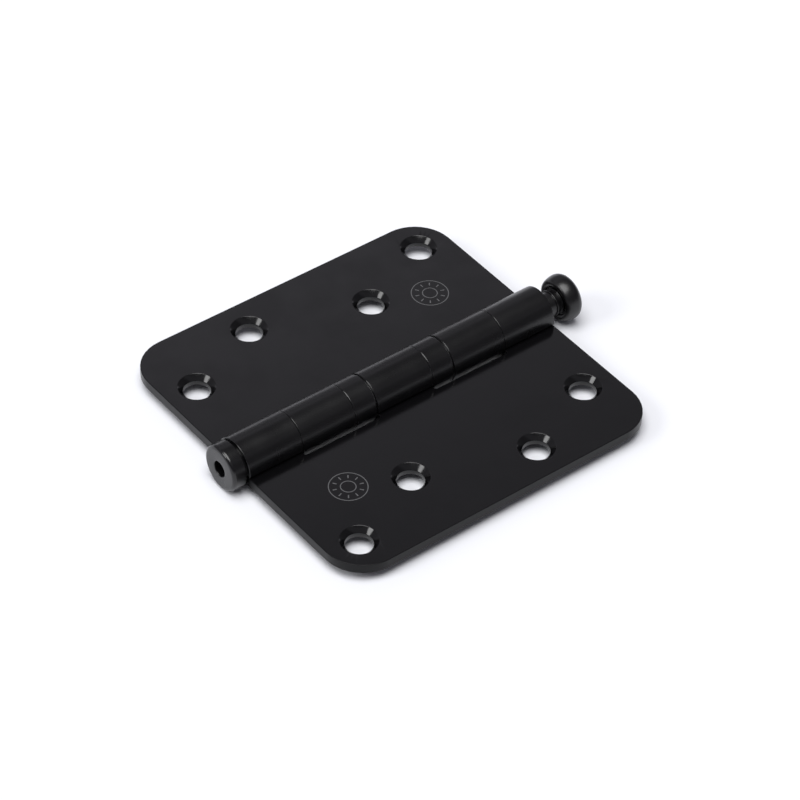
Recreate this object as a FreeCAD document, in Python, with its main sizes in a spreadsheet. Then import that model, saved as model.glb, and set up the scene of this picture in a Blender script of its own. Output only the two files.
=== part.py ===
# Loose-pin ball-bearing butt hinge, drawn lying open and flat.
# Millimetres. X runs across the hinge, Y along the pin towards its head, Z up from the leaves' front faces.
# The origin is the middle of the hinge's own box, on the surface that the barrel rests on.
import FreeCAD, Part
import math
import os
import Sketcher

SIZES = {
    # leaves
    "leaf_length": 89.0,  # along the pin
    "open_width": 89.0,  # across both leaves when they lie flat
    "leaf_thickness": 2.5,
    "corner_radius": 10.0,
    "edge_round": 0.35,  # softened edges of the stamped sheet
    "closed_gap": 2.0,  # between the leaves' front faces when folded together
    "crank_radius": 1.0,  # inside radius of the bend between leaf and curl
    "seam_gap": 0.35,  # where the curl's end stops short of the leaf's front face
    "notch_clearance": 0.9,  # from the barrel to the other leaf's edge
    "notch_overrun": 1.0,  # how far the cut starts outside the sheet
    # screw holes, two staggered rows in each leaf
    "hole_radius": 3.3,
    "sink_radius": 4.55,  # countersink at the front face
    "sink_angle": 90.0,
    "outer_row_inset": 8.8,  # from the leaf's outer edge
    "inner_row_inset": 18.0,
    "hole_end_inset": 8.3,  # from the leaf's end to the nearest hole of a row
    "hole_spacing": 50.8,  # between the two holes of a row
    # knuckles and bearings along the barrel
    "knuckle_length": 15.0,
    "knuckle_gap": 0.3,  # between two knuckles that meet with no bearing
    "bearing_length": 6.5,
    "casing_gap": 0.4,  # from a bearing's casing to the knuckle above it
    "casing_wall": 0.5,
    "casing_round": 0.3,
    "running_fit": 0.05,  # radial, between a race and the casing
    "ball_radius": 0.7,
    "ball_clearance": 0.03,  # radial, in the grooves and the cage pockets
    "ball_count": 10,
    "race_gap": 0.8,  # between the two races' faces
    "cage_thickness": 0.5,
    "cage_clearance": 0.1,  # radial, to the pin and to the casing
    # pin
    "pin_radius": 3.45,
    "pin_clearance": 0.05,  # radial, in the knuckles
    "pin_lift": 3.6,  # how far the pin stands out of its seat
    "pin_point": 1.2,  # length of the tapered lead at the pin's foot
    "tip_clearance": 0.6,  # from the seated pin's foot to the plug
    "neck_radius": 3.0,
    "neck_length": 4.6,  # below the head's seat
    "rib_height": 0.3,
    "rib_width": 0.5,
    "rib_drop": 1.3,  # from the head's seat to the lower rib's middle
    "rib_pitch": 1.2,  # between the two ribs
    "dish_depth": 0.9,  # of the hollow under the head
    "dish_radius": 3.7,
    "seat_radius": 4.2,  # outside of the ring that the head sits on
    "head_radius": 5.85,  # also of the head's round underside, a part of a ball
    "head_rim_radius": 2.0,
    # plug at the foot of the barrel
    "plug_radius": 5.8,
    "plug_length": 4.2,
    "plug_round": 0.6,
    "plug_neck_radius": 4.9,
    "plug_neck_length": 0.6,
    "plug_shank_length": 6.0,
    "plug_fit": 0.02,  # radial, in the foot knuckle's bore
    "punch_radius": 2.0,  # hole for driving the pin out
}

# Sizes that follow from the ones above.
HALF_LENGTH = "(Sizes.leaf_length / 2)"
HALF_WIDTH = "(Sizes.open_width / 2)"
BORE = "(Sizes.pin_radius + Sizes.pin_clearance)"
BARREL = f"({BORE} + Sizes.leaf_thickness)"
FRONT = "(-Sizes.closed_gap / 2)"  # leaf's front face, from the pin axis
BACK = f"({FRONT} - Sizes.leaf_thickness)"
END_FACE = f"({HALF_LENGTH} - Sizes.knuckle_length)"  # from the leaf's middle to the end knuckles
MID_FACE = f"({END_FACE} - Sizes.knuckle_length)"  # to the inner face of the second knuckles
CENTRE_FACE = f"({MID_FACE} - Sizes.bearing_length)"  # to the centre knuckle
NOTCH_EDGE = f"({BARREL} + Sizes.notch_clearance)"
RACE_OUTER = f"({BARREL} - Sizes.casing_wall - Sizes.running_fit)"
CASING_INNER = f"({BARREL} - Sizes.casing_wall)"
BALL_PITCH = f"(({BORE} + {RACE_OUTER}) / 2)"
BALL_TRACK = "(Sizes.ball_radius + Sizes.ball_clearance)"
HEAD_SEAT = f"({HALF_LENGTH} + Sizes.pin_lift)"
RIM_PLANE = f"({HEAD_SEAT} + sqrt(Sizes.head_radius ^ 2 - Sizes.seat_radius ^ 2))"
PIN_TOP = f"({RIM_PLANE} + Sizes.head_rim_radius)"
PLUG_END = f"(-{HALF_LENGTH} - Sizes.plug_length)"
PIN_FOOT = f"(-{HALF_LENGTH} + Sizes.plug_shank_length + Sizes.tip_clearance + Sizes.pin_lift)"
MIDDLE = f"(-({PIN_TOP} + {PLUG_END}) / 2)"  # the leaves' middle, with pin and plug centred on the origin

SAME = 1e-6  # two places nearer than this are one place

doc = FreeCAD.newDocument("hinge")
sheet = doc.addObject("Spreadsheet::Sheet", "Sizes")
for row, (name, size) in enumerate(SIZES.items(), start=1):
    sheet.set(f"A{row}", name)
    sheet.set(f"B{row}", str(size))
    sheet.setAlias(f"B{row}", name)
doc.recompute()


def number(formula):
    return float(sheet.evalExpression(formula))


def origin_plane(body, role):
    return next(item for item in body.Origin.OriginFeatures if item.Role == role)


def make_body(label, turned=False):
    """A body whose local origin is the pin axis at the leaves' middle; turned leaves face the other way."""
    body = doc.addObject("PartDesign::Body", label)
    body.Label = label
    turn = FreeCAD.Rotation(FreeCAD.Vector(0, 0, 1), 180 if turned else 0)
    body.Placement = FreeCAD.Placement(FreeCAD.Vector(0, 0, 0), turn)
    body.setExpression(".Placement.Base.y", MIDDLE)
    body.setExpression(".Placement.Base.z", BARREL)
    return body


def make_sketch(body, name, role, height="0"):
    """A sketch on one of the body's own origin planes, raised along that plane's normal."""
    sketch = body.newObject("Sketcher::SketchObject", f"{body.Name}_{name}")
    sketch.AttachmentSupport = [(origin_plane(body, role), "")]
    sketch.MapMode = "FlatFace"
    sketch.setExpression(".AttachmentOffset.Base.z", height)
    return sketch


def bind(sketch, kind, first, second, formula):
    size = number(formula)
    index = sketch.addConstraint(Sketcher.Constraint(kind, *first, *second, size))
    sketch.setExpression(f"Constraints[{index}]", formula)


def add_outline(sketch, corners, arcs=None):
    """A closed loop. A side listed in arcs is an arc (centre x, centre y, counter-clockwise or not)."""
    arcs = arcs or {}
    ends = []
    spots = [FreeCAD.Vector(number(x), number(y), 0) for x, y in corners]
    for side, (start, end) in enumerate(zip(spots, spots[1:] + spots[:1])):
        if side not in arcs:
            shape = sketch.addGeometry(Part.LineSegment(start, end), False)
            ends.append((shape, 1, 2))
            continue
        centre_x, centre_y, forward = arcs[side]
        centre = FreeCAD.Vector(number(centre_x), number(centre_y), 0)
        first, last = (start, end) if forward else (end, start)
        turns = [math.atan2(spot.y - centre.y, spot.x - centre.x) for spot in (first, last)]
        if turns[1] <= turns[0]:
            turns[1] += 2 * math.pi
        circle = Part.Circle(centre, FreeCAD.Vector(0, 0, 1), (first - centre).Length)
        shape = sketch.addGeometry(Part.ArcOfCircle(circle, *turns), False)
        ends.append((shape, 1, 2) if forward else (shape, 2, 1))
        chord = end - start  # the ends leave the centre free to slide square to the chord only
        if abs(chord.x) > abs(chord.y):
            bind(sketch, "DistanceY", (-1, 1), (shape, 3), centre_y)
        else:
            bind(sketch, "DistanceX", (-1, 1), (shape, 3), centre_x)
    for side, (shape, start, end) in enumerate(ends):
        before, _, joint = ends[side - 1]
        sketch.addConstraint(Sketcher.Constraint("Coincident", before, joint, shape, start))
        bind(sketch, "DistanceX", (-1, 1), (shape, start), corners[side][0])
        bind(sketch, "DistanceY", (-1, 1), (shape, start), corners[side][1])


def add_circle(sketch, centre, radius):
    spot = FreeCAD.Vector(number(centre[0]), number(centre[1]), 0)
    shape = sketch.addGeometry(Part.Circle(spot, FreeCAD.Vector(0, 0, 1), number(radius)), False)
    bind(sketch, "Radius", (shape,), (), radius)
    bind(sketch, "DistanceX", (-1, 1), (shape, 3), centre[0])
    bind(sketch, "DistanceY", (-1, 1), (shape, 3), centre[1])


def rectangle(left, right, low, high):
    return [(left, low), (right, low), (right, high), (left, high)]


def add_feature(body, kind, name, profile, **settings):
    feature = body.newObject(f"PartDesign::{kind}", f"{body.Name}_{name}")
    feature.Profile = profile
    for setting, size in settings.items():
        if isinstance(size, str) and "Sizes." in size:
            feature.setExpression(setting, size)
        else:
            setattr(feature, setting, size)
    doc.recompute()
    return feature


def round_edges(body, name, radius, chosen):
    """Fillets every edge of the body for which chosen(edge) is true."""
    base = body.Tip
    edges = [f"Edge{i}" for i, edge in enumerate(base.Shape.Edges, start=1) if chosen(edge)]
    fillet = body.newObject("PartDesign::Fillet", f"{body.Name}_{name}")
    fillet.Base = (base, edges)
    fillet.setExpression("Radius", radius)
    doc.recompute()
    return fillet


def turned_body(label, corners, arcs=None):
    """A body turned about the pin axis from an outline of (radius, height) corners."""
    body = make_body(label)
    sketch = make_sketch(body, "outline", "XY_Plane")
    add_outline(sketch, corners, arcs)
    axis = (sketch, ["V_Axis"])
    body.Tip = add_feature(body, "Revolution", "turning", sketch, ReferenceAxis=axis, Angle=360.0)
    return body


# Leaves

def bent_sheet(body):
    """The leaf's side view: flat plate, crank below the axis, and a curl rolled once round the pin."""
    reach = f"({BARREL} + Sizes.crank_radius)"
    drop = f"({BACK} - Sizes.crank_radius)"
    crank = f"sqrt({reach} ^ 2 - {drop} ^ 2)"
    seam = f"({FRONT} + Sizes.seam_gap)"
    seam_run = f"sqrt({BARREL} ^ 2 - {seam} ^ 2)"
    corners = [
        (HALF_WIDTH, FRONT),
        (crank, FRONT),
        (f"{BORE} * {crank} / {reach}", f"{BORE} * {drop} / {reach}"),
        (f"{BORE} * {seam_run} / {BARREL}", f"{BORE} * {seam} / {BARREL}"),
        (seam_run, seam),
        (f"{BARREL} * {crank} / {reach}", f"{BARREL} * {drop} / {reach}"),
        (crank, BACK),
        (HALF_WIDTH, BACK),
    ]
    arcs = {1: (crank, drop, True), 2: ("0", "0", False), 4: ("0", "0", True), 5: (crank, drop, False)}
    sketch = make_sketch(body, "side", "XZ_Plane")
    add_outline(sketch, corners, arcs)
    add_feature(body, "Pad", "sheet", sketch, Length="Sizes.leaf_length", Midplane=True)


def cut_notches(body, spans):
    """Cuts the sheet away along the barrel over each (from, to) span, for the other leaf's knuckles."""
    sketch = make_sketch(body, "notches", "XY_Plane")
    for low, high in spans:
        add_outline(sketch, rectangle(f"-{BARREL} - Sizes.notch_overrun", NOTCH_EDGE, low, high))
    add_feature(body, "Pocket", "notching", sketch, Type="ThroughAll", Midplane=True)


def drill_screw_holes(body):
    sketch = make_sketch(body, "screw_holes", "XY_Plane", FRONT)
    far = f"({HALF_LENGTH} - Sizes.hole_end_inset)"
    near = f"({far} - Sizes.hole_spacing)"
    for inset, way in (("Sizes.outer_row_inset", "-"), ("Sizes.inner_row_inset", "")):
        for height in (far, near):
            add_circle(sketch, (f"{HALF_WIDTH} - {inset}", f"{way}{height}"), "Sizes.hole_radius")
    add_feature(
        body, "Hole", "drilling", sketch,
        DepthType="ThroughAll", HoleCutType="Countersink", HoleCutCustomValues=True,
        Diameter="2 * Sizes.hole_radius", HoleCutDiameter="2 * Sizes.sink_radius",
        HoleCutCountersinkAngle="Sizes.sink_angle",
    )


def is_leaf_corner(edge):
    """True for the sheet's two upright edges at its outer corners."""
    start, end = edge.Vertexes[0].Point, edge.Vertexes[-1].Point
    upright = math.hypot(start.x - end.x, start.y - end.y) < SAME
    at_side = abs(start.x - number(HALF_WIDTH)) < SAME
    return upright and at_side and abs(abs(start.y) - number(HALF_LENGTH)) < SAME


def is_sheet_edge(edge):
    """True for the sharp edges round the sheet, except those of the bore and of the curl's end."""
    first, last = edge.FirstParameter, edge.LastParameter
    middle = edge.valueAt((first + last) / 2)
    level = max(abs(edge.tangentAt(first).z), abs(edge.tangentAt(last).z)) < SAME
    on_face = min(abs(middle.z - number(FRONT)), abs(middle.z - number(BACK))) < SAME
    on_curl = abs(math.hypot(middle.x, middle.z) - number(BARREL)) < SAME and len(edge.Vertexes) == 2
    around = abs(edge.Vertexes[0].Point.y - edge.Vertexes[-1].Point.y) < SAME
    return (on_face and level and middle.x > number(BORE)) or (on_curl and around)


def make_leaf(label, spans, turned):
    body = make_body(label, turned)
    bent_sheet(body)
    cut_notches(body, spans)
    round_edges(body, "corners", "Sizes.corner_radius", is_leaf_corner)
    round_edges(body, "softening", "Sizes.edge_round", is_sheet_edge)
    drill_screw_holes(body)
    return body


frame_leaf = make_leaf("frame_leaf", [
    (f"-{END_FACE} - Sizes.knuckle_gap / 2", f"-{CENTRE_FACE}"),
    (CENTRE_FACE, f"{END_FACE} + Sizes.knuckle_gap / 2"),
], False)
door_leaf = make_leaf("door_leaf", [
    (f"-{HALF_LENGTH} - Sizes.notch_overrun", f"-{END_FACE} + Sizes.knuckle_gap / 2"),
    (f"-{MID_FACE}", MID_FACE),
    (f"{END_FACE} - Sizes.knuckle_gap / 2", f"{HALF_LENGTH} + Sizes.notch_overrun"),
], True)

# Pin and plug

def pin_outline():
    neck_start = f"({HEAD_SEAT} - Sizes.neck_length)"
    dish_floor = f"({HEAD_SEAT} + Sizes.dish_depth)"
    rib_radius = "(Sizes.neck_radius + Sizes.rib_height)"
    corners = [
        ("0", PIN_FOOT),
        ("Sizes.pin_radius - Sizes.pin_point / 2", PIN_FOOT),
        ("Sizes.pin_radius", f"{PIN_FOOT} + Sizes.pin_point"),
        ("Sizes.pin_radius", neck_start),
        ("Sizes.neck_radius", neck_start),
    ]
    for rib in range(2):
        middle = f"({HEAD_SEAT} - Sizes.rib_drop + {rib} * Sizes.rib_pitch)"
        low, high = f"{middle} - Sizes.rib_width / 2", f"{middle} + Sizes.rib_width / 2"
        corners += [("Sizes.neck_radius", low), (rib_radius, low)]
        corners += [(rib_radius, high), ("Sizes.neck_radius", high)]
    corners += [
        ("Sizes.neck_radius", dish_floor),
        ("Sizes.dish_radius", HEAD_SEAT),
        ("Sizes.seat_radius", HEAD_SEAT),
        ("Sizes.head_radius", RIM_PLANE),
        ("Sizes.head_radius - Sizes.head_rim_radius", PIN_TOP),
        ("0", PIN_TOP),
    ]
    underside = corners.index(("Sizes.seat_radius", HEAD_SEAT))
    arcs = {
        underside: ("0", RIM_PLANE, True),
        underside + 1: ("Sizes.head_radius - Sizes.head_rim_radius", RIM_PLANE, True),
    }
    return corners, arcs


def plug_outline():
    shank = f"({BORE} - Sizes.plug_fit)"
    collar = f"(-{HALF_LENGTH} - Sizes.plug_neck_length)"
    round_start = "Sizes.plug_radius - Sizes.plug_round"
    corners = [
        ("Sizes.punch_radius", PLUG_END),
        (round_start, PLUG_END),
        ("Sizes.plug_radius", f"{PLUG_END} + Sizes.plug_round"),
        ("Sizes.plug_radius", collar),
        ("Sizes.plug_neck_radius", collar),
        ("Sizes.plug_neck_radius", f"-{HALF_LENGTH}"),
        (shank, f"-{HALF_LENGTH}"),
        (shank, f"-{HALF_LENGTH} + Sizes.plug_shank_length"),
        ("Sizes.punch_radius", f"-{HALF_LENGTH} + Sizes.plug_shank_length"),
    ]
    return corners, {1: (round_start, f"{PLUG_END} + Sizes.plug_round", True)}


hinge_pin = turned_body("hinge_pin", *pin_outline())
tip_plug = turned_body("tip_plug", *plug_outline())


# Bearings

def race_outline(face, way):
    """A washer with its flat side at height face and its groove towards way, which is 1 (up) or -1."""
    inner_face = f"({face} + {way} * (Sizes.bearing_length - Sizes.race_gap) / 2)"
    ball_plane = f"({face} + {way} * Sizes.bearing_length / 2)"
    groove = f"sqrt({BALL_TRACK} ^ 2 - (Sizes.race_gap / 2) ^ 2)"
    corners = [
        (BORE, face),
        (RACE_OUTER, face),
        (RACE_OUTER, inner_face),
        (f"{BALL_PITCH} + {groove}", inner_face),
        (f"{BALL_PITCH} - {groove}", inner_face),
        (BORE, inner_face),
    ]
    return corners, {3: (BALL_PITCH, ball_plane, way < 0)}


def casing_outline(face):
    end = f"({face} + Sizes.bearing_length - Sizes.casing_gap)"
    shoulder = f"{BARREL} - Sizes.casing_round"
    corners = [
        (CASING_INNER, face),
        (shoulder, face),
        (BARREL, f"{face} + Sizes.casing_round"),
        (BARREL, f"{end} - Sizes.casing_round"),
        (shoulder, end),
        (CASING_INNER, end),
    ]
    arcs = {
        1: (shoulder, f"{face} + Sizes.casing_round", True),
        3: (shoulder, f"{end} - Sizes.casing_round", True),
    }
    return corners, arcs


def make_cage(label, ball_plane):
    """A ring with one pocket, repeated for every ball."""
    body = make_body(label)
    ring = make_sketch(body, "ring", "XZ_Plane", f"-{ball_plane}")
    add_circle(ring, ("0", "0"), f"{BORE} + Sizes.cage_clearance")
    add_circle(ring, ("0", "0"), f"{CASING_INNER} - Sizes.cage_clearance")
    add_feature(body, "Pad", "washer", ring, Length="Sizes.cage_thickness", Midplane=True)
    pocket = make_sketch(body, "pocket", "XZ_Plane", f"-{ball_plane}")
    add_circle(pocket, (BALL_PITCH, "0"), BALL_TRACK)
    cut = add_feature(body, "Pocket", "first_pocket", pocket, Type="ThroughAll", Midplane=True)
    pattern = body.newObject("PartDesign::PolarPattern", f"{label}_pockets")
    pattern.Originals = [cut]
    pattern.Axis = (pocket, ["N_Axis"])
    pattern.Angle = 360
    pattern.setExpression("Occurrences", "Sizes.ball_count")
    body.Tip = pattern
    doc.recompute()
    return body


def make_balls(place, ball_plane):
    balls = []
    for count in range(SIZES["ball_count"]):
        turn = f"(360 deg * {count} / Sizes.ball_count)"
        ball = doc.addObject("Part::Sphere", f"{place}_ball_{count + 1:02d}")
        ball.Label = ball.Name
        ball.setExpression("Radius", "Sizes.ball_radius")
        ball.setExpression(".Placement.Base.x", f"{BALL_PITCH} * cos({turn})")
        ball.setExpression(".Placement.Base.y", f"{MIDDLE} + {ball_plane}")
        ball.setExpression(".Placement.Base.z", f"{BARREL} + {BALL_PITCH} * sin({turn})")
        balls.append(ball)
    return balls


def make_bearing(place, face):
    """A thrust bearing standing on the knuckle face at height face."""
    top_face = f"({face} + Sizes.bearing_length)"
    ball_plane = f"({face} + Sizes.bearing_length / 2)"
    return [
        turned_body(f"{place}_casing", *casing_outline(face)),
        turned_body(f"{place}_seat_race", *race_outline(face, 1)),
        turned_body(f"{place}_cap_race", *race_outline(top_face, -1)),
        make_cage(f"{place}_cage", ball_plane),
        *make_balls(place, ball_plane),
    ]


pieces = [frame_leaf, door_leaf, hinge_pin, tip_plug]
pieces += make_bearing("lower", f"(-{MID_FACE})")
pieces += make_bearing("upper", CENTRE_FACE)

doc.recompute()
failed = [item.Name for item in doc.Objects if "Invalid" in item.State or "Error" in item.State]
failed += [piece.Label for piece in pieces if piece.Shape.isNull() or not piece.Shape.isValid()]
if failed:
    raise RuntimeError(f"not built: {failed}")

os.makedirs("parts", exist_ok=True)
for piece in pieces:
    piece.Shape.exportStep(f"parts/{piece.Label}.step")
print(f"wrote {len(pieces)} pieces")
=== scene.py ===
import math

import bmesh
import bpy
from mathutils import Matrix, Vector


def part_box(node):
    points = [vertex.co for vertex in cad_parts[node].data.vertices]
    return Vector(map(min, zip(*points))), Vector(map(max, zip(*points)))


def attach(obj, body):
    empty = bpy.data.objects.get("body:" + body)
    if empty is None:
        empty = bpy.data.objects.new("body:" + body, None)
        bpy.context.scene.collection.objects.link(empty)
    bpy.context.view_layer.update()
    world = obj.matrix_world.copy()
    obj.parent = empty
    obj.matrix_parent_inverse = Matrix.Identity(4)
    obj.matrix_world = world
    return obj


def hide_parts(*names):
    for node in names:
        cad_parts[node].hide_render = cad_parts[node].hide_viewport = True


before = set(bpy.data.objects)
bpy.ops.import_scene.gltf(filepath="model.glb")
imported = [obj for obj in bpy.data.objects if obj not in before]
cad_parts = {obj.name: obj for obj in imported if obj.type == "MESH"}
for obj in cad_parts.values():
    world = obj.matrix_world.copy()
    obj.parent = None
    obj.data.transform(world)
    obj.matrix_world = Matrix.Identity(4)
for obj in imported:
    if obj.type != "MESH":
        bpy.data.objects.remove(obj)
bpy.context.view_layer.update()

mm = 0.001
print("hinge frame loaded:", len(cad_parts), "nodes")


# camera, floor and light

camera = {
    "azimuth": 50.88,  # degrees round the hinge, 0 looks along the pin
    "elevation": 42.6,
    "roll": 2.01,
    "distance": 777.6 * mm,
    "lens": 151.3,
    "aim": (4.87 * mm, -3.66 * mm, 4.88 * mm),
    "nearest": 0.01,  # metres, as is the next
    "farthest": 50.0,
}


def addCamera(sizes):
    data = bpy.data.cameras.new("hingeCamera")
    data.lens = sizes["lens"]
    data.clip_start = sizes["nearest"]
    data.clip_end = sizes["farthest"]
    cam = bpy.data.objects.new("hingeCamera", data)
    bpy.context.scene.collection.objects.link(cam)
    turn = Matrix.Rotation(math.radians(sizes["azimuth"]), 4, "Z")
    turn @= Matrix.Rotation(math.radians(90 - sizes["elevation"]), 4, "X")
    turn @= Matrix.Rotation(math.radians(sizes["roll"]), 4, "Z")
    back = turn.to_3x3() @ Vector((0, 0, sizes["distance"]))
    cam.matrix_world = Matrix.Translation(Vector(sizes["aim"]) + back) @ turn
    bpy.context.scene.camera = cam


studio = {
    "floorReach": 12.0,
    "floorTone": (0.86, 0.87, 0.905),
    "floorRoughness": 0.95,
    "floorSpecular": 0.1,
    # soft boxes: spread across in degrees, strength, and where each one hangs
    "softBoxes": {
        "topBox": (46, 2.75, (0.1, -0.18, 0.97)),
        "sideBox": (22, 0.75, (-0.2, -0.77, 0.6)),
    },
    # room brightness by height, from the horizon (0) to straight up (1)
    "roomTones": ((0, 0.9), (0.06, 0.5), (0.12, 0.2), (0.58, 0.2), (0.62, 0.42), (0.72, 0.42),
                  (0.76, 0.2), (1, 0.2)),
    "roomTint": (1.0, 0.98, 1.07),
    # a wide screen: the room is brighter on the door leaf's side, with a soft edge along the pin
    "screenFacing": (-0.7645, 0, -0.6446),
    "screenEdge": (-0.014, 0.036),
    "screenTones": (0.68, 1.36),
}


def addFloor(sizes):
    bpy.ops.mesh.primitive_plane_add(size=sizes["floorReach"])
    floor = bpy.context.object
    floor.name = "studioFloor"
    paper = bpy.data.materials.new("whitePaper")
    paper.use_nodes = True
    shader = paper.node_tree.nodes["Principled BSDF"]
    shader.inputs["Base Color"].default_value = (*sizes["floorTone"], 1)
    shader.inputs["Roughness"].default_value = sizes["floorRoughness"]
    shader.inputs["Specular IOR Level"].default_value = sizes["floorSpecular"]
    floor.data.materials.append(paper)


def addSoftBox(name, spread, strength, place):
    data = bpy.data.lights.new(name, "SUN")
    data.angle = math.radians(spread)
    data.energy = strength
    lamp = bpy.data.objects.new(name, data)
    lamp.rotation_euler = Vector(place).to_track_quat("Z", "Y").to_euler()
    bpy.context.scene.collection.objects.link(lamp)


def addRoom(sizes):
    world = bpy.data.worlds.new("studioRoom")
    world.use_nodes = True
    nodes, links = world.node_tree.nodes, world.node_tree.links
    place = nodes.new("ShaderNodeTexCoord")
    split = nodes.new("ShaderNodeSeparateXYZ")
    fade = nodes.new("ShaderNodeValToRGB")
    links.new(place.outputs["Generated"], split.inputs[0])
    links.new(split.outputs["Z"], fade.inputs[0])
    links.new(fade.outputs[0], nodes["Background"].inputs["Color"])
    facing = nodes.new("ShaderNodeVectorMath")
    facing.operation = "DOT_PRODUCT"
    facing.inputs[1].default_value = sizes["screenFacing"]
    screen = nodes.new("ShaderNodeMapRange")
    for socket, value in zip(("From Min", "From Max"), sizes["screenEdge"]):
        screen.inputs[socket].default_value = value
    for socket, value in zip(("To Min", "To Max"), sizes["screenTones"]):
        screen.inputs[socket].default_value = value
    links.new(place.outputs["Generated"], facing.inputs[0])
    links.new(facing.outputs["Value"], screen.inputs["Value"])
    links.new(screen.outputs["Result"], nodes["Background"].inputs["Strength"])
    stops = fade.color_ramp.elements
    for stop in sizes["roomTones"][1:-1]:
        stops.new(stop[0])
    for stop, (height, tone) in zip(stops, sizes["roomTones"]):
        stop.position = height
        stop.color = (*[tone * part for part in sizes["roomTint"]], 1)
    bpy.context.scene.world = world


addCamera(camera)
addFloor(studio)
for boxName, (spread, strength, place) in studio["softBoxes"].items():
    addSoftBox(boxName, spread, strength, place)
addRoom(studio)
bpy.context.scene.view_settings.view_transform = "Standard"
print("camera, floor and light are set")


# finishes

noiseSpan = (0.35, 0.65)  # most of a noise pattern lies between these values


def addNode(material, kind, values, wires):
    node = material.node_tree.nodes.new("ShaderNode" + kind)
    for socket, value in values.items():
        node.inputs[socket].default_value = value
    for socket, source in wires.items():
        material.node_tree.links.new(source, node.inputs[socket])
    return node


def addNoise(material, size, detail):
    spot = addNode(material, "TexCoord", {}, {}).outputs["Object"]
    values = {"Scale": 1 / size, "Detail": detail}
    return addNode(material, "TexNoise", values, {"Vector": spot}).outputs["Fac"]


def addTones(material, source, lowTone, highTone):
    ramp = addNode(material, "ValToRGB", {}, {"Fac": source})
    for stop, place, tone in zip(ramp.color_ramp.elements, noiseSpan, (lowTone, highTone)):
        stop.position = place
        stop.color = (*tone, 1)
    return ramp.outputs["Color"]


def addRange(material, source, low, high):
    values = {"From Min": noiseSpan[0], "From Max": noiseSpan[1], "To Min": low, "To Max": high}
    return addNode(material, "MapRange", values, {"Value": source}).outputs["Result"]


def addPainted(material, layer):
    # how much of a layer the mesh carries at each point
    node = addNode(material, "Attribute", {}, {})
    node.attribute_name = layer
    return node.outputs["Fac"]


def addBlend(material, amount, first, second):
    wires = {"Fac": amount, "Color1": first, "Color2": second}
    return addNode(material, "MixRGB", {}, wires).outputs["Color"]


def addBump(material, height, depth):
    return addNode(material, "Bump", {"Distance": depth}, {"Height": height}).outputs["Normal"]


def startFinish(name, constants):
    material = bpy.data.materials.new(name)
    material.use_nodes = True
    shader = material.node_tree.nodes["Principled BSDF"]
    for socket, value in constants.items():
        shader.inputs[socket].default_value = value
    return material


def wireFinish(material, color, roughness, normal):
    shader = material.node_tree.nodes["Principled BSDF"]
    material.node_tree.links.new(color, shader.inputs["Base Color"])
    material.node_tree.links.new(roughness, shader.inputs["Roughness"])
    material.node_tree.links.new(normal, shader.inputs["Normal"])
    return material


def shade(tone, part):
    return [channel * part for channel in tone]


leafCoat = {
    "specular": 0.5,
    "tone": (0.0022, 0.0021, 0.0025),
    "toneSpread": (0.75, 1.3),
    "worn": (0.008, 0.008, 0.009),  # tone along the rounded edges
    "roughness": (0.11, 0.17),
    "curlRoughness": (0.26, 0.32),  # duller round the curl
    "wornRoughness": 0.16,
    "wornSpread": (0.9, 1.1),
    "cloud": 9 * mm,
    "cloudDetail": 2,
    "peel": 0.6 * mm,  # orange peel of the sprayed coat
    "peelDepth": 0.003 * mm,
    "peelDetail": 2,
    "speck": 0.09 * mm,
    "speckDetail": 3,
}
edgeCoat = {
    **leafCoat,
    "specular": 0.2,
    "roughness": (0.28, 0.36),  # the sheared edges are duller than the faces
    "wornRoughness": 0.3,
}
pinCoat = {
    **leafCoat,
    "roughness": (0.3, 0.36),
    "peel": 0.4 * mm,
}
casingCoat = {
    **leafCoat,
    "roughness": (0.26, 0.32),
    "peel": 0.3 * mm,
}


def makeCoat(name, sizes):
    material = startFinish(name, {"Specular IOR Level": sizes["specular"]})
    cloud = addNoise(material, sizes["cloud"], sizes["cloudDetail"])
    speck = addNoise(material, sizes["speck"], sizes["speckDetail"])
    wear, curl = addPainted(material, "wear"), addPainted(material, "curl")
    dark, light = [shade(sizes["tone"], part) for part in sizes["toneSpread"]]
    tint = addTones(material, speck, dark, light)
    tint = addBlend(material, wear, tint, addTones(material, speck, sizes["tone"], sizes["worn"]))
    sheen = addRange(material, cloud, *sizes["roughness"])
    sheen = addBlend(material, curl, sheen, addRange(material, cloud, *sizes["curlRoughness"]))
    burnish = addRange(material, cloud, *shade(sizes["wornSpread"], sizes["wornRoughness"]))
    sheen = addBlend(material, wear, sheen, burnish)
    peel = addNoise(material, sizes["peel"], sizes["peelDetail"])
    return wireFinish(material, tint, sheen, addBump(material, peel, sizes["peelDepth"]))


metals = {
    "etchedLine": {
        "metallic": 0,
        "tone": (0.12, 0.12, 0.125),
        "roughness": (0.4, 0.6),
        "grain": 0.05 * mm,
        "depth": 0.002 * mm,
    },
    "raceSteel": {
        "metallic": 1,
        "tone": (0.55, 0.55, 0.56),
        "roughness": (0.22, 0.34),
        "grain": 0.06 * mm,
        "depth": 0.0006 * mm,
    },
    "ballSteel": {
        "metallic": 1,
        "tone": (0.75, 0.75, 0.77),
        "roughness": (0.04, 0.09),
        "grain": 0.2 * mm,
        "depth": 0.0002 * mm,
    },
    "cageBrass": {
        "metallic": 1,
        "tone": (0.72, 0.53, 0.24),
        "roughness": (0.2, 0.38),
        "grain": 0.35 * mm,
        "depth": 0.0015 * mm,
    },
}
metalGrain = {
    "detail": 4,
    "darkest": 0.75,  # part of the metal's tone
}


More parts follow.
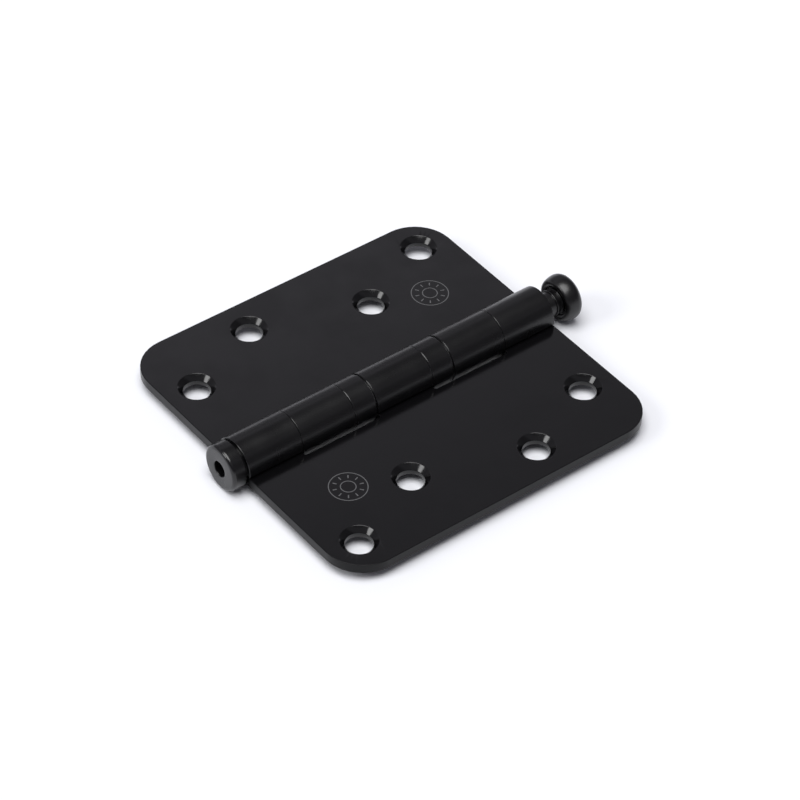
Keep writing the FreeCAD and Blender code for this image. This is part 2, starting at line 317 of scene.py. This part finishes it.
def makeMetal(name, sizes):
    material = startFinish(name, {"Metallic": sizes["metallic"]})
    grain = addNoise(material, sizes["grain"], metalGrain["detail"])
    tint = addTones(material, grain, shade(sizes["tone"], metalGrain["darkest"]), sizes["tone"])
    sheen = addRange(material, grain, *sizes["roughness"])
    return wireFinish(material, tint, sheen, addBump(material, grain, sizes["depth"]))


sprayCoats = {"leafCoat": leafCoat, "edgeCoat": edgeCoat, "pinCoat": pinCoat, "casingCoat": casingCoat}
finishes = {name: makeMetal(name, sizes) for name, sizes in metals.items()}
finishes.update({name: makeCoat(name, sizes) for name, sizes in sprayCoats.items()})
print("finishes are made:", ", ".join(finishes))


# places shared by the pieces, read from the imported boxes

leafLow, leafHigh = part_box("frame_leaf")
barrelRadius = -leafLow.x
axisHeight = barrelRadius  # the barrel stands on the floor
halfWidth = leafHigh.x
halfLength = (leafHigh.y - leafLow.y) / 2
leafMiddle = (leafHigh.y + leafLow.y) / 2


# outlines: corners are (x, y, rounding), and every point also says how much its edge wears

leastTurn = 1e-6  # radians, anything less is straight on
touching = 1e-7  # metres, anything nearer is in the same place


def roundCorner(before, corner, after, radius, steps):
    arrive, leave = (corner - before).normalized(), (after - corner).normalized()
    cross = arrive.x * leave.y - arrive.y * leave.x
    turn = math.atan2(cross, arrive.dot(leave))
    if radius <= 0 or abs(turn) < leastTurn:
        return [(corner, 0)]
    start = corner - arrive * radius * math.tan(abs(turn) / 2)
    side = math.copysign(radius, turn)
    centre = start + Vector((-arrive.y, arrive.x)) * side
    points = []
    for step in range(steps + 1):
        angle = turn * step / steps
        cosine, sine = math.cos(angle), math.sin(angle)
        arm = start - centre
        spot = centre + Vector((arm.x * cosine - arm.y * sine, arm.x * sine + arm.y * cosine))
        points.append((spot, math.sin(math.pi * step / steps)))
    return points


def roundOutline(corners, steps, closed=True):
    spots = [Vector(corner[:2]) for corner in corners]
    points = []
    for index, spot in enumerate(spots):
        if not closed and index in (0, len(spots) - 1):
            points.append((spot, 0))
            continue
        after = spots[(index + 1) % len(spots)]
        points += roundCorner(spots[index - 1], spot, after, corners[index][2], steps)
    return points


def arcCorners(centre, radius, start, end, steps):
    angles = [start + (end - start) * step / steps for step in range(steps + 1)]
    return [(centre[0] + radius * math.cos(a), centre[1] + radius * math.sin(a), 0) for a in angles]


def circleLoop(centre, radius, steps, way):
    angles = [way * 2 * math.pi * step / steps for step in range(steps)]
    x, y = centre
    return [Vector((x + radius * math.cos(a), y + radius * math.sin(a))) for a in angles]


# meshes

shading = {
    "sharpAngle": 38,  # degrees between faces that stay a crisp edge
    "faceWeight": 100,
}


def startMesh():
    mesh = bmesh.new()
    for layer in ("wear", "curl"):
        mesh.verts.layers.float.new(layer)
    return mesh


def addRing(mesh, points, wear):
    layer = mesh.verts.layers.float["wear"]
    ring = [mesh.verts.new(point) for point in points]
    for corner in ring:
        corner[layer] = wear
    return ring


def joinRings(mesh, first, second):
    faces = []
    for index in range(max(len(first), len(second))):
        corners = []
        around = ((first, index), (first, index + 1), (second, index + 1), (second, index))
        for ring, place in around:
            corner = ring[place % len(ring)]
            if corner not in corners:
                corners.append(corner)
        faces.append(mesh.faces.new(corners))
    return faces


def addPiece(name, mesh, body, node, coats):
    data = bpy.data.meshes.new(name)
    bmesh.ops.recalc_face_normals(mesh, faces=mesh.faces)
    for face in mesh.faces:
        face.smooth = True
    mesh.to_mesh(data)
    mesh.free()
    data.set_sharp_from_angle(angle=math.radians(shading["sharpAngle"]))
    piece = bpy.data.objects.new(name, data)
    bpy.context.scene.collection.objects.link(piece)
    for coat in coats:
        data.materials.append(finishes[coat])
    weigh = piece.modifiers.new("evenShading", "WEIGHTED_NORMAL")
    weigh.keep_sharp = True
    weigh.weight = shading["faceWeight"]
    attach(piece, body)
    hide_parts(node)
    return piece


def turnPiece(profile, steps, closed):
    # spins a profile of (radius, place along the pin) once round the pin axis
    mesh = startMesh()
    rings = []
    for spot, wear in profile:
        count = steps if spot.x > touching else 1
        angles = [2 * math.pi * step / steps for step in range(count)]
        ring = [(spot.x * math.cos(a), spot.y, axisHeight + spot.x * math.sin(a)) for a in angles]
        rings.append(addRing(mesh, ring, wear))
    for first, second in zip(rings, rings[1:] + rings[:1] * closed):
        joinRings(mesh, first, second)
    return mesh


# leaves: a sheet is blanked with its holes, etched, and then curled round the pin

leafShape = {
    "thickness": 2.5 * mm,
    "cornerRadius": 10 * mm,
    "faceDrop": 1 * mm,  # from the pin axis down to the front face
    "crankRadius": 1 * mm,
    "seamGap": 0.35 * mm,
    "notchClearance": 0.9 * mm,
    "notchRound": 0.4 * mm,
    "frontRound": 0.15 * mm,
    "backRound": 0.14 * mm,
    "cornerSteps": 10,
    "roundSteps": 4,
    "curlStep": 4,  # degrees between the lines across the curl
    "coatFade": 3 * mm,  # from the flat's coat to the curl's
}
screwHoles = {
    "radius": 3.3 * mm,
    "sinkRadius": 4.55 * mm,
    "rimRound": 0.15 * mm,
    "outerInset": 8.8 * mm,
    "innerInset": 18 * mm,
    "endInset": 8.3 * mm,
    "spacing": 50.8 * mm,
    "steps": 96,
}
intoSheet = 10  # half thicknesses that an edge's outline runs into the sheet
leafCoats = ["leafCoat", "etchedLine", "edgeCoat"]  # by face
knuckles = {
    "length": 15 * mm,
    "gap": 0.08 * mm,
    "bearing": 6.5 * mm,
}
raceMark = {
    "inset": 23.7 * mm,  # from the leaf's outer edge
    "endInset": 16.5 * mm,
    "line": 0.24 * mm,
    "depth": 0.06 * mm,
    "wall": 0.03 * mm,
    "outerRing": 4.6 * mm,
    "innerRing": 1.9 * mm,
    "strokeFrom": 2.7 * mm,
    "strokeTo": 3.7 * mm,
    "strokes": 10,
    "cells": 4,  # between two strokes
}


def insetLoop(points, inset):
    # moves every side of a loop to its left, into the sheet
    moved = []
    for index, spot in enumerate(points):
        arrive = (spot - points[index - 1]).normalized()
        leave = (points[(index + 1) % len(points)] - spot).normalized()
        first, second = Vector((-arrive.y, arrive.x)), Vector((-leave.y, leave.x))
        moved.append(spot + (first + second) * (inset / (1 + first.dot(second))))
    return moved


def cutEdge(mesh, loop, profile, coat=0):
    # walls of (inset, height) round one loop; gives back the loops left on the front and the back
    rings = []
    for spot, wear in profile:
        ring = [(point.x, point.y, spot.y) for point in insetLoop(loop, spot.x)]
        rings.append(addRing(mesh, ring, wear))
    for first, second in zip(rings, rings[1:]):
        for face in joinRings(mesh, first, second):
            face.material_index = coat
    return rings[0], rings[-1]


def fillFace(mesh, rings):
    edges = []
    for ring in rings:
        edges += [mesh.edges.get((ring[index - 1], corner)) for index, corner in enumerate(ring)]
    bmesh.ops.triangle_fill(mesh, use_beauty=True, use_dissolve=False, edges=edges)


def edgeProfile(half, front, back, steps):
    deep = intoSheet * half
    corners = [(deep, half, 0), (0, half, front), (0, -half, back), (deep, -half, 0)]
    return roundOutline(corners, steps, closed=False)[1:-1]


def holeProfile(sizes, half, steps):
    deep = intoSheet * half
    sink = sizes["sinkRadius"] - sizes["radius"]
    rim = sizes["rimRound"]
    corners = [(deep, half, 0), (sink, half, rim), (0, half - sink, rim), (0, -half, rim), (deep, -half, 0)]
    return roundOutline(corners, steps, closed=False)[1:-1]


def etchMark(mesh, sizes, centre, half):
    # a round patch of the front face whose cells sink where the lines run
    pitch = 2 * math.pi / sizes["strokes"]
    wide = sizes["line"] / (sizes["strokeFrom"] + sizes["strokeTo"])
    thin = sizes["wall"] / sizes["strokeTo"]
    places = [(-wide - thin, 0), (-wide, 1), (wide, 1), (wide + thin, 0)]
    room, cells = pitch - 2 * wide - 2 * thin, sizes["cells"]
    places += [(wide + thin + room * part / cells, 0) for part in range(1, cells)]
    lines = [
        (sizes["outerRing"], sizes["outerRing"] - sizes["line"], True),
        (sizes["strokeTo"], sizes["strokeFrom"], False),
        (sizes["innerRing"], sizes["innerRing"] - sizes["line"], True),
    ]
    rings, sunk = [], []
    for outer, inner, whole in lines:
        wall = sizes["wall"]
        for radius, deep in ((outer, 0), (outer - wall, 1), (inner + wall, 1), (inner, 0)):
            points, marks = [], []
            for stroke in range(sizes["strokes"]):
                for place, inStroke in places:
                    angle = stroke * pitch + place
                    down = sizes["depth"] if deep and (whole or inStroke) else 0
                    x, y = radius * math.cos(angle), radius * math.sin(angle)
                    points.append((centre[0] + x, centre[1] + y, half - down))
                    marks.append(down > 0)
            rings.append(addRing(mesh, points, 0))
            sunk += [corner for corner, mark in zip(rings[-1], marks) if mark]
    sunk = set(sunk)
    for first, second in zip(rings, rings[1:]):
        for face in joinRings(mesh, first, second):
            face.material_index = int(any(corner in sunk for corner in face.verts))
    mesh.faces.new(rings[-1])
    return rings[0]


def curlShape(sizes):
    # radii and lengths along the sheet's middle layer, seen from the pin's end
    half = sizes["thickness"] / 2
    reach = barrelRadius + sizes["crankRadius"]
    shape = {"half": half, "height": -sizes["faceDrop"] - half}
    shape["crankRadius"] = sizes["crankRadius"] + half
    shape["crankZ"] = shape["height"] - shape["crankRadius"]
    shape["crankX"] = math.sqrt(reach ** 2 - shape["crankZ"] ** 2)
    shape["crankTurn"] = math.atan2(shape["crankX"], -shape["crankZ"])
    shape["rollRadius"] = barrelRadius - half
    shape["rollStart"] = math.atan2(shape["crankZ"], shape["crankX"])
    seam = math.asin((sizes["seamGap"] - sizes["faceDrop"]) / barrelRadius)
    shape["rollTurn"] = 2 * math.pi + shape["rollStart"] - seam
    shape["flat"] = halfWidth - shape["crankX"]
    shape["crankEnd"] = shape["flat"] + shape["crankRadius"] * shape["crankTurn"]
    shape["end"] = shape["crankEnd"] + shape["rollRadius"] * shape["rollTurn"]
    return shape


def curlPoint(shape, along, up):
    # x and z from the pin axis, and how far the sheet has turned there
    if along <= shape["flat"]:
        return halfWidth - along, shape["height"] + up, 0
    if along <= shape["crankEnd"]:
        turn = (along - shape["flat"]) / shape["crankRadius"]
        reach = shape["crankRadius"] + up
        x, z = reach * math.sin(turn), reach * math.cos(turn)
        return shape["crankX"] - x, shape["crankZ"] + z, turn
    turn = (along - shape["crankEnd"]) / shape["rollRadius"]
    angle = shape["rollStart"] - turn
    reach = shape["rollRadius"] - up
    return reach * math.cos(angle), reach * math.sin(angle), shape["crankTurn"] - turn


def blankLoop(sizes, shape, fingers):
    # counter-clockwise, from the outer edge (0) to the fingers' ends, which become the knuckles
    notch = halfWidth - barrelRadius - sizes["notchClearance"]
    big, small = sizes["cornerRadius"], sizes["notchRound"]
    corners = [(0, -halfLength, big)]
    if fingers[0][0] > -halfLength:
        corners.append((notch, -halfLength, small))
    for low, high in fingers:
        if low > -halfLength:
            corners.append((notch, low, small))
        corners += [(shape["end"], low, 0), (shape["end"], high, 0)]
        if high < halfLength:
            corners.append((notch, high, small))
    if fingers[-1][1] < halfLength:
        corners.append((notch, halfLength, small))
    corners.append((0, halfLength, big))
    return [spot for spot, wear in roundOutline(corners, sizes["cornerSteps"])]


def makeBlank(sizes, shape, fingers):
    mesh = startMesh()
    half, steps = shape["half"], sizes["roundSteps"]
    rim = edgeProfile(half, sizes["frontRound"], sizes["backRound"], steps)
    sides = [cutEdge(mesh, blankLoop(sizes, shape, fingers), rim, leafCoats.index("edgeCoat"))]
    far = halfLength - screwHoles["endInset"]
    bevel = holeProfile(screwHoles, half, steps)
    for inset, way in ((screwHoles["outerInset"], 1), (screwHoles["innerInset"], -1)):
        for place in (far, far - screwHoles["spacing"]):
            loop = circleLoop((inset, way * place), screwHoles["radius"], screwHoles["steps"], -1)
            sides.append(cutEdge(mesh, loop, bevel))
    mark = etchMark(mesh, raceMark, (raceMark["inset"], halfLength - raceMark["endInset"]), half)
    fillFace(mesh, [front for front, back in sides] + [mark])
    fillFace(mesh, [back for front, back in sides])
    return mesh


def scoreCurl(mesh, shape, step):
    # lines across the sheet where it bends
    lines = []
    crank = (shape["flat"], shape["crankRadius"], shape["crankTurn"])
    roll = (shape["crankEnd"], shape["rollRadius"], shape["rollTurn"])
    for start, radius, turn in (crank, roll):
        count = round(turn / math.radians(step))
        lines += [start + radius * turn * part / count for part in range(count)]
    for along in lines:
        sheet = mesh.verts[:] + mesh.edges[:] + mesh.faces[:]
        line = {"plane_co": (along, 0, 0), "plane_no": (1, 0, 0)}
        bmesh.ops.bisect_plane(mesh, geom=sheet, dist=touching, **line)


def sheetNormals(piece):
    # the flat blank's shading, read before it is curled
    seen = piece.evaluated_get(bpy.context.evaluated_depsgraph_get())
    return [Vector(corner.vector) for corner in seen.data.corner_normals]


def curlBlank(piece, shape, normals, way):
    # way is 1 for the frame's side and -1 for the door's, which is the same leaf turned round
    data = piece.data
    turns = []
    for corner in data.vertices:
        x, z, turn = curlPoint(shape, corner.co.x, corner.co.z)
        corner.co = (way * x, leafMiddle - way * corner.co.y, axisHeight + z)
        turns.append(turn)
    bent = []
    for loop, normal in zip(data.loops, normals):
        cosine, sine = math.cos(turns[loop.vertex_index]), math.sin(turns[loop.vertex_index])
        x = -normal.x * cosine - normal.z * sine
        bent.append((way * x, -way * normal.y, normal.z * cosine - normal.x * sine))
    piece.modifiers.clear()
    data.normals_split_custom_set(bent)
    data.update()


def makeLeaf(name, node, body, fingers, way):
    shape = curlShape(leafShape)
    mesh = makeBlank(leafShape, shape, fingers)
    scoreCurl(mesh, shape, leafShape["curlStep"])
    curl = mesh.verts.layers.float["curl"]
    for corner in mesh.verts:
        corner[curl] = min(max((corner.co.x - shape["flat"]) / leafShape["coatFade"], 0), 1)
    for face in mesh.faces:
        if face.calc_center_median().x > shape["flat"]:
            face.material_index = leafCoats.index("leafCoat")
    piece = addPiece(name, mesh, body, node, leafCoats)
    curlBlank(piece, shape, sheetNormals(piece), way)
    print(name, "is curled:", len(piece.data.polygons), "faces")


endFace = halfLength - knuckles["length"]
midFace = endFace - knuckles["length"]
centreFace = midFace - knuckles["bearing"]
seam = knuckles["gap"] / 2

frameFingers = [(-halfLength, -endFace - seam), (-centreFace, centreFace), (endFace + seam, halfLength)]
doorFingers = [(-endFace + seam, -midFace), (midFace, endFace - seam)]
makeLeaf("frameLeaf", "frame_leaf", "frame_leaf", frameFingers, 1)
makeLeaf("doorLeaf", "door_leaf", "door_leaf", doorFingers, -1)


# pin and plug

pinShape = {
    "radius": 3.45 * mm,
    "footRound": 0.3 * mm,
    "point": 1.2 * mm,
    "pointRound": 0.5 * mm,
    "shoulderRound": 0.15 * mm,
    "neckRadius": 3 * mm,
    "neckFillet": 0.1 * mm,
    "neckStart": -1 * mm,  # from the knuckle's end face, as are ribPlaces and hollowTop
    "ribHeight": 0.3 * mm,
    "ribWidth": 0.5 * mm,
    "ribRound": 0.15 * mm,
    "ribFillet": 0.05 * mm,
    "ribPlaces": (3.6 * mm, 5.1 * mm),
    "hollowTop": 6.2 * mm,
    "hollowFillet": 0.2 * mm,
    "ridgeRadius": 0.9 * mm,  # rounded lip round the hollow under the head
    "ridgeLean": 23,  # degrees
    "ridgeSteps": 14,
    "ballSteps": 8,  # on the ball-shaped side of the head
    "rimRadius": 2 * mm,
    "rimSteps": 16,
    "roundSteps": 4,
    "steps": 128,
}


def makePin(sizes):
    low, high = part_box("hinge_pin")
    headRadius, top = high.x, high.y
    rim = sizes["rimRadius"]
    plane = top - rim
    face = leafHigh.y
    neckStart, hollow = face + sizes["neckStart"], face + sizes["hollowTop"]
    neck, rib = sizes["neckRadius"], sizes["neckRadius"] + sizes["ribHeight"]
    corners = [
        (0, low.y, 0),
        (sizes["radius"] - sizes["point"] / 2, low.y, sizes["footRound"]),
        (sizes["radius"], low.y + sizes["point"], sizes["pointRound"]),
        (sizes["radius"], neckStart, sizes["shoulderRound"]),
        (neck, neckStart, sizes["neckFillet"]),
    ]
    for place in sizes["ribPlaces"]:
        lower, upper = face + place - sizes["ribWidth"] / 2, face + place + sizes["ribWidth"] / 2
        corners += [(neck, lower, sizes["ribFillet"]), (rib, lower, sizes["ribRound"])]
        corners += [(rib, upper, sizes["ribRound"]), (neck, upper, sizes["ribFillet"])]
    corners.append((neck, hollow, sizes["hollowFillet"]))
    ridge, lean = sizes["ridgeRadius"], math.radians(sizes["ridgeLean"])
    middle = ((headRadius - ridge) * math.cos(lean), plane - (headRadius - ridge) * math.sin(lean))
    corners += arcCorners(middle, ridge, -math.pi, -lean, sizes["ridgeSteps"])
    corners += arcCorners((0, plane), headRadius, -lean, 0, sizes["ballSteps"])[1:]
    corners += arcCorners((headRadius - rim, plane), rim, 0, math.pi / 2, sizes["rimSteps"])[1:]
    corners.append((0, top, 0))
    profile = roundOutline(corners, sizes["roundSteps"], closed=False)
    mesh = turnPiece(profile, sizes["steps"], False)
    addPiece("loosePin", mesh, "hinge_pin", "hinge_pin", ["pinCoat"])


plugShape = {
    "neckRadius": 4.9 * mm,
    "neckLength": 0.6 * mm,
    "shankRadius": 3.48 * mm,
    "shankRound": 0.3 * mm,
    "punchRadius": 2 * mm,
    "punchRim": 0.2 * mm,
    "punchEnd": 0.1 * mm,  # rounding inside the barrel
    "endRound": 0.9 * mm,
    "collarRound": 0.25 * mm,
    "roundSteps": 6,
    "steps": 128,
}


def makePlug(sizes):
    low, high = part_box("tip_plug")
    foot = leafLow.y
    collar = foot - sizes["neckLength"]
    corners = [
        (sizes["punchRadius"], low.y, sizes["punchRim"]),
        (high.x, low.y, sizes["endRound"]),
        (high.x, collar, sizes["collarRound"]),
        (sizes["neckRadius"], collar, 0),
        (sizes["neckRadius"], foot, 0),
        (sizes["shankRadius"], foot, 0),
        (sizes["shankRadius"], high.y, sizes["shankRound"]),
        (sizes["punchRadius"], high.y, sizes["punchEnd"]),
    ]
    mesh = turnPiece(roundOutline(corners, sizes["roundSteps"]), sizes["steps"], True)
    addPiece("tipPlug", mesh, "frame_leaf", "tip_plug", ["casingCoat"])


makePin(pinShape)
makePlug(plugShape)
print("pin and plug are turned")


# bearings

bearingShape = {
    "bore": 3.5 * mm,
    "casingWall": 0.5 * mm,
    "casingRound": 0.3 * mm,
    "casingInnerRound": 0.1 * mm,
    "casingSteps": 6,  # in each rounding
    "ballTrack": 0.73 * mm,
    "trackSteps": 16,
    "raceGap": 0.8 * mm,
    "raceRound": 0.2 * mm,
    "raceSteps": 4,
    "cageRound": 0.05 * mm,
    "cageSteps": 3,
    "pocketSteps": 32,
    "cageRun": 0.1 * mm,  # from the races' bore out to the cage's
    "casingRun": 0.05 * mm,  # room between the races and the casing
    "ballCount": 10,
    "steps": 128,
}


def makeCasing(sizes, name, node, body):
    low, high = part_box(node)
    inner = high.x - sizes["casingWall"]
    edge, innerEdge = sizes["casingRound"], sizes["casingInnerRound"]
    corners = [(inner, low.y, innerEdge), (high.x, low.y, edge)]
    corners += [(high.x, high.y, edge), (inner, high.y, innerEdge)]
    mesh = turnPiece(roundOutline(corners, sizes["casingSteps"]), sizes["steps"], True)
    addPiece(name, mesh, body, node, ["casingCoat"])


def makeRace(sizes, name, node, body, way):
    # way is the direction along the pin that the ball groove faces
    low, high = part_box(node)
    flat, face = (low.y, high.y) if way > 0 else (high.y, low.y)
    pitch = (sizes["bore"] + high.x) / 2
    plane = face + way * sizes["raceGap"] / 2
    reach = math.asin(sizes["raceGap"] / 2 / sizes["ballTrack"])
    edge = sizes["raceRound"]
    corners = [(sizes["bore"], flat, edge), (high.x, flat, edge), (high.x, face, edge)]
    start, end = -way * reach, way * (reach - math.pi)
    corners += arcCorners((pitch, plane), sizes["ballTrack"], start, end, sizes["trackSteps"])
    corners.append((sizes["bore"], face, edge))
    mesh = turnPiece(roundOutline(corners, sizes["raceSteps"]), sizes["steps"], True)
    addPiece(name, mesh, body, node, ["raceSteel"])


def makeCage(sizes, name, node, body):
    low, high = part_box(node)
    half, plane = (high.y - low.y) / 2, (high.y + low.y) / 2
    inner = sizes["bore"] + sizes["cageRun"]
    pitch = (sizes["bore"] + barrelRadius - sizes["casingWall"] - sizes["casingRun"]) / 2
    mesh = startMesh()
    rim = edgeProfile(half, sizes["cageRound"], sizes["cageRound"], sizes["cageSteps"])
    loops = [circleLoop((0, 0), high.x, sizes["steps"], 1)]
    loops.append(circleLoop((0, 0), inner, sizes["steps"], -1))
    for ball in range(sizes["ballCount"]):
        angle = 2 * math.pi * ball / sizes["ballCount"]
        pocket = (pitch * math.cos(angle), pitch * math.sin(angle))
        loops.append(circleLoop(pocket, sizes["ballTrack"], sizes["pocketSteps"], -1))
    sides = [cutEdge(mesh, loop, rim) for loop in loops]
    fillFace(mesh, [front for front, back in sides])
    fillFace(mesh, [back for front, back in sides])
    for corner in mesh.verts:
        corner.co = (corner.co.x, plane - corner.co.z, axisHeight + corner.co.y)
    addPiece(name, mesh, body, node, ["cageBrass"])


bearings = {
    # place: (casing's body, seat race's body, cap race's body)
    "lower": ("door_leaf", "door_leaf", "frame_leaf"),
    "upper": ("frame_leaf", "frame_leaf", "door_leaf"),
}
for place, (casing, seat, cap) in bearings.items():
    makeCasing(bearingShape, place + "Casing", place + "_casing", casing)
    makeRace(bearingShape, place + "SeatRace", place + "_seat_race", seat, 1)
    makeRace(bearingShape, place + "CapRace", place + "_cap_race", cap, -1)
    makeCage(bearingShape, place + "Cage", place + "_cage", place + "_cage")
    for ball in range(bearingShape["ballCount"]):
        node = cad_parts[f"{place}_ball_{ball + 1:02d}"]
        node.data.materials.clear()
        node.data.materials.append(finishes["ballSteel"])
    print(place, "bearing is made")
